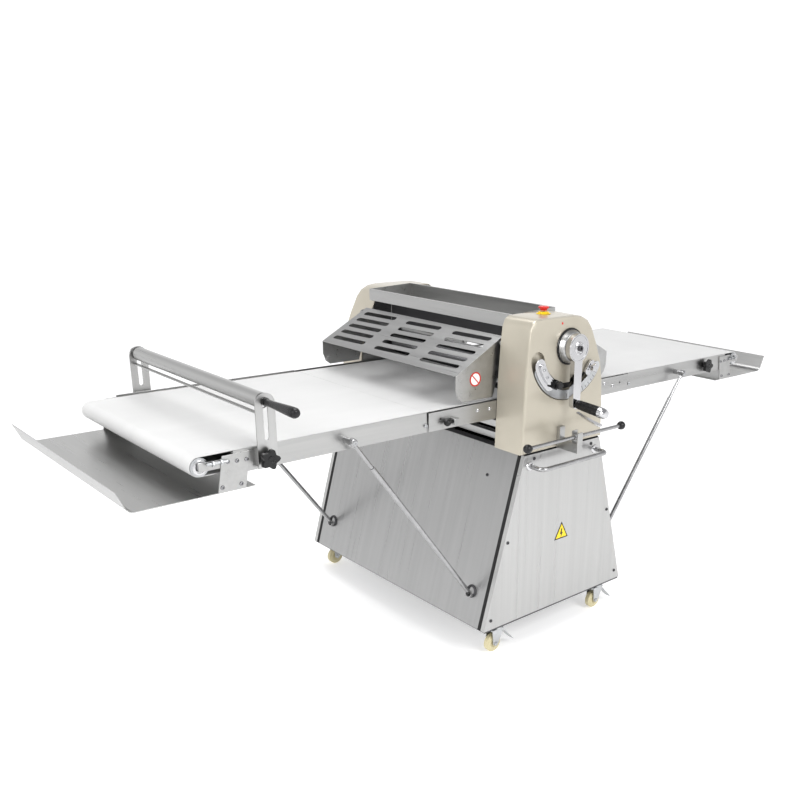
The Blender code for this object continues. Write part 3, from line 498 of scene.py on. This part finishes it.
def roundel(name, s, sy):
    y = sy * 0.3331
    c = W(s * 0.245, y, 0.820)
    n = (0, sy, 0)
    side = "left" if s < 0 else "right"
    bm = bmesh.new()
    turned(bm, [(0, 0.0002), (0.0185, 0.0002), (0.0185, -0.0002), (0, -0.0002)], c, n, 40)
    piece(name + "_field", bm, "white", side + "_guard", smooth=False)
    bm = bmesh.new()
    turned(bm, [(0.0165, 0.0001), (0.0165, 0.0004), (0.0205, 0.0004), (0.0205, 0.0001)], c, n, 40)
    d = math.radians(135)
    ux, uz = math.cos(d), math.sin(d)
    w, L = 0.0016, 0.0172
    lo, hi = sorted((y + sy * 0.0002, y + sy * 0.0005))
    prism(bm, [(s * 0.245 + a * ux * L - b * uz * w, 0.820 + a * uz * L + b * ux * w) for a,
            b in ((-1, -1), (1, -1), (1, 1), (-1, 1))],
          "xz", lo, hi)
    piece(name + "_ring", bm, "sign_red", side + "_guard", smooth=False)


roundel("sign_left_guard", -1, -1)
roundel("sign_right_guard", 1, -1)


# crank: ringed disc, socket screw, grip cap and ribs, boss rings; and the red lamp above it
GRIP_AXIS = Vector((0.06, -1.0, -0.10))


def crank():
    face = -0.4980
    bm = bmesh.new()
    turned(bm, [(0.0160, -0.0006), (0.0160, 0.0010), (0.0172, 0.0022), (0.0190, 0.0010), (0.0190, -0.0006)],
            W(AX, face, AZ), OUT, 36)
    turned(bm, [(0.0345, -0.0006), (0.0350, 0.0010), (0.0368, 0.0010), (0.0376, -0.0006)], W(AX, face, AZ), OUT, 44)
    piece("crank_rings", bm, "chrome", "lever")
    bm = bmesh.new()
    turned(bm, [(0, 0.0012), (0.0036, 0.0012), (0.0042, 0.0056), (0.0072, 0.0056), (0.0082, 0.0046), (0.0082, 0.0),
            (0, 0.0)],
           W(AX, face - 0.0018, AZ), OUT, 24)
    piece("crank_screw", bm, "dark", "lever")
    tilt = GRIP_AXIS.normalized()
    at = W(0.0, face - 0.0018, 0.7450) + tilt * 0.1065
    bm = bmesh.new()
    turned(bm, [(0, 0.0030), (0.0060, 0.0028), (0.0110, 0.0012), (0.0146, -0.0060), (0.0158, -0.0150),
            (0.0160, -0.0240), (0.0148, -0.0250),
                (0, -0.0250)], at, tilt, 28)
    piece("lever_grip_cap", bm, "chrome", "lever")
    bm = bmesh.new()
    for k in range(5):
        t = 0.012 + k * 0.014
        r = 0.0128 + 0.0022 * t / 0.088
        turned(bm, [(r - 0.0006, -0.0022), (r + 0.0006, -0.0012), (r + 0.0006, 0.0012), (r - 0.0006, 0.0022)],
               W(0.0, face - 0.0018, 0.7450) + tilt * t, tilt, 28)
    piece("lever_grip_ribs", bm, "black", "lever")
    bm = bmesh.new()
    turned(bm, [(0.0480, 0.0), (0.0520, 0.0), (0.0532, 0.0014), (0.0520, 0.0042), (0.0480, 0.0050)],
            W(AX, FACE - 0.0002, AZ), OUT, 48)
    piece("crank_boss_collar", bm, "black", "base")
    bm = bmesh.new()
    for h in (0.0075, 0.0125):
        turned(bm, [(0.0440, h), (0.0468 - 0.35 * (h - 0.0075), h + 0.0008),
                (0.0462 - 0.35 * (h - 0.0075), h + 0.0026), (0.0430, h + 0.0030)],
               W(AX, FACE - 0.0003, AZ), OUT, 48)
    piece("crank_boss_rings", bm, "chrome", "base")
    bm = bmesh.new()
    turned(bm, [(0, 0.0006), (0.0030, 0.0006), (0.0034, 0.0), (0, 0.0)], W(-0.034, FACE, 0.9740), OUT, 16)
    piece("lamp_dot", bm, "red", "base")


def trigger():
    """The squeeze lever under the grip: a flat tongue that widens to a round tip."""
    p = W(0.0, -0.5030, 0.7205)
    d = GRIP_AXIS.normalized() * 0.088 + Vector((0, 0, -0.012))
    length = d.length
    d.normalize()
    side = Vector((1, 0, 0))
    side = (side - d * side.dot(d)).normalized()
    up = side.cross(d)
    outline = [(-0.0052, 0.0), (-0.0060, 0.030), (-0.0082, 0.066), (-0.0086, length - 0.004)]
    outline += [(0.0086 * math.cos(math.radians(a)),
            length - 0.004 + 0.0060 * math.sin(math.radians(a))) for a in (150, 120, 90, 60, 30)]
    outline += [(-x, y) for x, y in outline[3::-1]]
    bm = bmesh.new()
    rings = [[bm.verts.new(p + side * a + d * b + up * (h + 0.0030 * math.sin(b / length * 2.6))) for a,
            b in outline] for h in (-0.0022, 0.0022)]
    n = len(outline)
    for i in range(n):
        bm.faces.new((rings[0][i], rings[0][(i + 1) % n], rings[1][(i + 1) % n], rings[1][i]))
    for ring in rings:
        for i in range(n // 2):
            quad = [ring[i], ring[(i + 1) % n], ring[n - 2 - i], ring[n - 1 - i]]
            quad = list(dict.fromkeys(quad))
            if len(quad) > 2 and i + 1 <= n - 1 - i:
                try:
                    bm.faces.new(quad)
                except ValueError:
                    pass
    ob = piece("trigger_tongue", bm, "chrome", "trigger", 0.0009)
    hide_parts("lever_trigger")


crank()
trigger()


# gap stops: bright clamp brackets beside each knob, with screws on the left one
def stop_bracket(tag, items, dots):
    """items: (r0, r1, a0, a1, depth) plates along the recess; dots: (r, angle) screws."""
    for k, (r0, r1, a0, a1, depth) in enumerate(items):
        bm = bmesh.new()
        prism(bm, band(AX, AZ, r0, r1, a0, a1, 12), "xz", FACE - depth, FACE - 0.0026)
        piece("gap_stop_%s_bracket_%d" % (tag, k + 1), bm, "chrome", tag + "_stop", 0.0012)
    if not dots:
        return
    bm = bmesh.new()
    for r, a in dots:
        a = math.radians(a)
        screw(bm, W(AX + r * math.cos(a), FACE - items[-1][4], AZ + r * math.sin(a)), OUT, 0.0042, 0.0036)
    piece("gap_stop_%s_screws" % tag, bm, "zinc", tag + "_stop")


stop_bracket("left", [(0.108, 0.148, 199, 231, 0.0065), (0.116, 0.134, 202, 226, 0.0130)], [(0.125, 205), (0.125, 217)])
stop_bracket("right", [(0.098, 0.120, 313, 327, 0.0110)], [])

# hinge rails: fixing screws
screws("hinge_rail_front_screws", "base", [(W(x, -0.3443, z), OUT, 0.0058, 0.0030) for x, z in
       ((-0.244, 0.732), (-0.198, 0.730), (0.198, 0.730), (0.244, 0.732), (0.345, 0.723), (0.303, 0.735))], "chrome")
screws("hinge_rail_rear_screws", "base", [(W(x, 0.3443, z), (0, 1, 0), 0.0058, 0.0030) for x, z in
       ((-0.345, 0.723), (-0.244, 0.732), (-0.198, 0.730), (0.198, 0.730), (0.244, 0.732), (0.345, 0.723))], "chrome")


# table ends: bracket screws, belt tension bolts, roller caps and the table hinge screws
def table_end(s, tag):
    body = tag + "_table"
    items = []
    for sy in (-1, 1):
        y = sy * 0.3438
        for x, z in ((1.007, 0.732), (0.984, 0.730), (0.960, 0.729), (1.024, 0.673), (0.977, 0.673)):
            items.append((W(s * x, y, z), (0, sy, 0), 0.0052, 0.0030))
    screws("table_end_%s_screws" % tag, body, items, "roller")
    bm = bmesh.new()
    for sy in (-1, 1):
        y = sy * 0.3475
        turned(bm, [(0, 0.0), (0.0032, 0.0), (0.0032, 0.050), (0.0026, 0.0515), (0, 0.0515)],
                W(s * 1.0080, y, 0.7350), (s, 0, 0), 16)
        for h in (0.0130, 0.0330):
            turned(bm, [(0.0020, h), (0.0068, h), (0.0072, h + 0.0006), (0.0072, h + 0.0050), (0.0068, h + 0.0056),
                    (0.0020, h + 0.0056)],
                   W(s * 1.0080, y, 0.7350), (s, 0, 0), 6)
    piece("belt_tension_bolts_" + tag, bm, "zinc", body)
    bm = bmesh.new()
    for sy in (-1, 1):
        turned(bm, [(0.0065, 0.0), (0.0090, 0.0016), (0.0120, 0.0016), (0.0132, 0.0006), (0.0165, 0.0006),
                (0.0175, 0.0)],
               W(s * 1.0675, sy * 0.3311, 0.7263), (0, sy, 0), 32)
    piece("end_roller_caps_" + tag, bm, "chrome", tag + "_end_roller")
    bm = bmesh.new()
    for sy in (-1, 1):
        turned(bm, [(0, 0.0046), (0.0026, 0.0046), (0.0030, 0.0058), (0.0046, 0.0058), (0.0056, 0.0048),
                (0.0056, 0.0), (0, 0.0)],
               W(s * 0.4300, sy * 0.3401, 0.7180), (0, sy, 0), 18)
    piece("table_hinge_screws_" + tag, bm, "zinc", body)


table_end(-1, "left")
table_end(1, "right")


# castors: tread rings, axle nuts and the swivel collar
def castor(tag, x, y):
    wheel = tag + "_wheel"
    bm = bmesh.new()
    for sy in (-1, 1):
        turned(bm, [(0.0100, 0.0092), (0.0130, 0.0108), (0.0200, 0.0108), (0.0225, 0.0094)], W(x - 0.014, y, 0.028),
                (0, sy, 0), 32)
    piece("castor_tread_ring_" + tag, bm, "cream", wheel)
    bm = bmesh.new()
    for sy in (-1, 1):
        turned(bm, [(0, 0.0200), (0.0030, 0.0200), (0.0036, 0.0192), (0.0062, 0.0192), (0.0066, 0.0184),
                (0.0066, 0.0160), (0, 0.0160)],
               W(x - 0.014, y, 0.028), (0, sy, 0), 6)
    turned(bm, [(0.0150, 0.0), (0.0200, 0.0), (0.0212, -0.0020), (0.0200, -0.0044), (0.0150, -0.0044)],
            W(x, y, 0.0806), (0, 0, 1), 28)
    piece("castor_axle_nuts_" + tag, bm, "zinc", tag + "_castor")


for s, t in ((-1, "left"), (1, "right")):
    for sy, e in ((-1, "front"), (1, "rear")):
        castor("%s_%s" % (e, t), s * 0.228, sy * 0.425)

# roll-up: sleeve, tube end discs, far knob, grip bands and bracket screws
def on_tube(y):
    return W(-0.9105, y, 0.860)


bm = bmesh.new()
turned(bm, [(0.0152, 0.3430), (0.0182, 0.3430), (0.0188, 0.3424), (0.0188, -0.3424), (0.0182, -0.3430),
        (0.0152, -0.3430)],
       on_tube(0), (0, 1, 0), 48)
piece("roll_up_sleeve", bm, "steel_y", "winding_tube")
bm = bmesh.new()
for sy in (-1, 1):
    turned(bm, [(0.0060, 0.0010), (0.0070, 0.0006), (0.0125, 0.0004), (0.0142, 0.0), (0.0152, -0.0010)],
            on_tube(sy * 0.3482), (0, sy, 0), 32)
piece("roll_up_tube_ends", bm, "chrome", "winding_tube")
bm = bmesh.new()
turned(bm, [(0.0060, 0.0106), (0.0090, 0.0106), (0.0134, 0.0136), (0.0140, 0.0170), (0.0140, 0.0290),
        (0.0134, 0.0318), (0.0112, 0.0357),
            (0, 0.0368)], on_tube(0.3460), (0, 1, 0), 24)
piece("roll_up_far_knob", bm, "black", "winding_tube")
bm = bmesh.new()
turned(bm, [(0.0088, -0.0020), (0.0100, -0.0014), (0.0100, 0.0014), (0.0088, 0.0020)], on_tube(-0.3610), OUT, 24)
turned(bm, [(0, 0.1465), (0.0050, 0.1465), (0.0068, 0.1452), (0.0068, 0.1440), (0, 0.1440)], on_tube(-0.3483), OUT, 24)
piece("roll_up_grip_bands", bm, "black", "winding_tube")
screws("roll_up_bracket_screws", "left_table", [(W(x, sy * 0.3555, 0.7130), (0, sy, 0), 0.0040,
        0.0024) for x in (-0.925, -0.897)
       for sy in (-1, 1)], "zinc")

# star knob bosses
for tag, x, y, n, body in (("left_front", -0.915, -0.378, -1, "left_front_knob"),
        ("left_rear", -0.915, 0.378, 1, "left_rear_knob"),
                           ("right_front", 0.862, -0.3623, -1, "right_front_knob")):
    bm = bmesh.new()
    turned(bm, [(0, 0.0012), (0.0040, 0.0012), (0.0052, 0.0020), (0.0086, 0.0016), (0.0105, -0.0004)],
            W(x, y, 0.726), (0, n, 0), 24)
    piece("star_knob_%s_boss" % tag, bm, "black", body)

# emergency stop: base plate ring
bm = bmesh.new()
turned(bm, [(0.0150, 0.0), (0.0205, 0.0), (0.0212, 0.0006), (0.0205, 0.0014), (0.0152, 0.0016)],
        W(-0.035, -0.385, 0.9921), (0, 0, 1), 36)
piece("estop_ring", bm, "yellow", "base")

# dark strip between the head covers and the cabinet: painted shadow filling the seam gap
bm = bmesh.new()
for sy in (-1, 1):
    y0, y1 = sorted((sy * 0.3500, sy * 0.4540))
    prism(bm, [(-0.158, y0), (0.158, y0), (0.158, y1), (-0.158, y1)], "xy", 0.6083, 0.6108)
piece("head_seam_painted_shadow", bm, "painted_shade", "base")

# control bar: black end knobs and the clamp screw
bm = bmesh.new()
for s in (-1, 1):
    turned(bm, [(0.0058, -0.0006), (0.0080, 0.0004), (0.0110, 0.0050), (0.0127, 0.0100), (0.0129, 0.0135),
            (0.0120, 0.0175), (0.0098, 0.0212),
                (0.0060, 0.0240), (0, 0.0250)], W(-0.027 + s * 0.1856, -0.530, 0.659), (s, 0, 0), 20)
piece("control_bar_knobs", bm, "black", "shift_bar")
screws("control_bar_screw", "shift_bar", [(W(-0.025, -0.5380, 0.659), OUT, 0.0045, 0.0028)], "dark")

# shoulder bolt sockets on the struts
for s, t in ((-1, "left"), (1, "right")):
    for sy, e in ((-1, "front"), (1, "rear")):
        bm = bmesh.new()
        turned(bm, [(0.0030, -0.0010), (0.0032, 0.0006), (0.0052, 0.0009), (0.0060, -0.0002)],
                W(s * 0.686, sy * 0.3836, 0.725), (0, sy, 0), 24)
        piece("strut_bolt_ring_%s_%s" % (t, e), bm, "zinc", "%s_%s_strut" % (t, e))


# ---- floor and light; the floor glows a little to give the white backdrop
def stage():
    bm = bmesh.new()
    bmesh.ops.create_grid(bm, x_segments=2, y_segments=2, size=45.0)
    mesh = bpy.data.meshes.new("floor")
    bm.to_mesh(mesh)
    bm.free()
    floor = bpy.data.objects.new("floor", mesh)
    bpy.context.scene.collection.objects.link(floor)
    mesh.materials.append(surface("pale_floor", (0.80, 0.80, 0.80), 0.0, 0.6, 20, (1, 1, 1), 0.02, 0.0002, 0.01,
            0.03, 1.0))
    bsdf = mesh.materials[0].node_tree.nodes["Principled BSDF"]
    bsdf.inputs["Emission Color"].default_value = (1, 1, 1, 1)
    bsdf.inputs["Emission Strength"].default_value = 0.38
    world = bpy.data.worlds.new("studio")
    bpy.context.scene.world = world
    world.use_nodes = True
    nt = world.node_tree
    back = nt.nodes["Background"]
    where = nt.nodes.new("ShaderNodeTexCoord")
    split = nt.nodes.new("ShaderNodeSeparateXYZ")
    link(nt, where.outputs["Generated"], split.inputs[0])
    ramp = nt.nodes.new("ShaderNodeValToRGB")
    ramp.color_ramp.elements[0].position, ramp.color_ramp.elements[0].color = 0.0, (0.97, 0.97, 0.97, 1)
    ramp.color_ramp.elements[1].position, ramp.color_ramp.elements[1].color = 0.75, (0.40, 0.40, 0.41, 1)
    mid = ramp.color_ramp.elements.new(0.30)
    mid.color = (0.95, 0.95, 0.95, 1)
    link(nt, split.outputs[2], ramp.inputs[0])
    link(nt, ramp.outputs[0], back.inputs["Color"])
    back.inputs["Strength"].default_value = 1.0

    def area(name, at, to, size, power):
        data = bpy.data.lights.new(name, "AREA")
        data.shape, data.size, data.size_y, data.energy = "RECTANGLE", size[0], size[1], power
        ob = bpy.data.objects.new(name, data)
        bpy.context.scene.collection.objects.link(ob)
        ob.matrix_world = Matrix.Translation(at) @ (Vector(to) - Vector(at)).to_track_quat("-Z",
                "Y").to_matrix().to_4x4()
    area("key", (0.4, -3.4, 3.0), (0.2, 0, 0.6), (1.6, 1.6), 60)
    area("side", (-3.4, -0.6, 2.2), (0, 0, 0.6), (0.8, 2.2), 34)
    area("top", (-0.4, 0.6, 3.4), (0, 0, 0.7), (2.6, 1.2), 34)
    bpy.context.scene.view_settings.view_transform = "Standard"
    bpy.context.scene.view_settings.look = "Medium High Contrast"


stage()
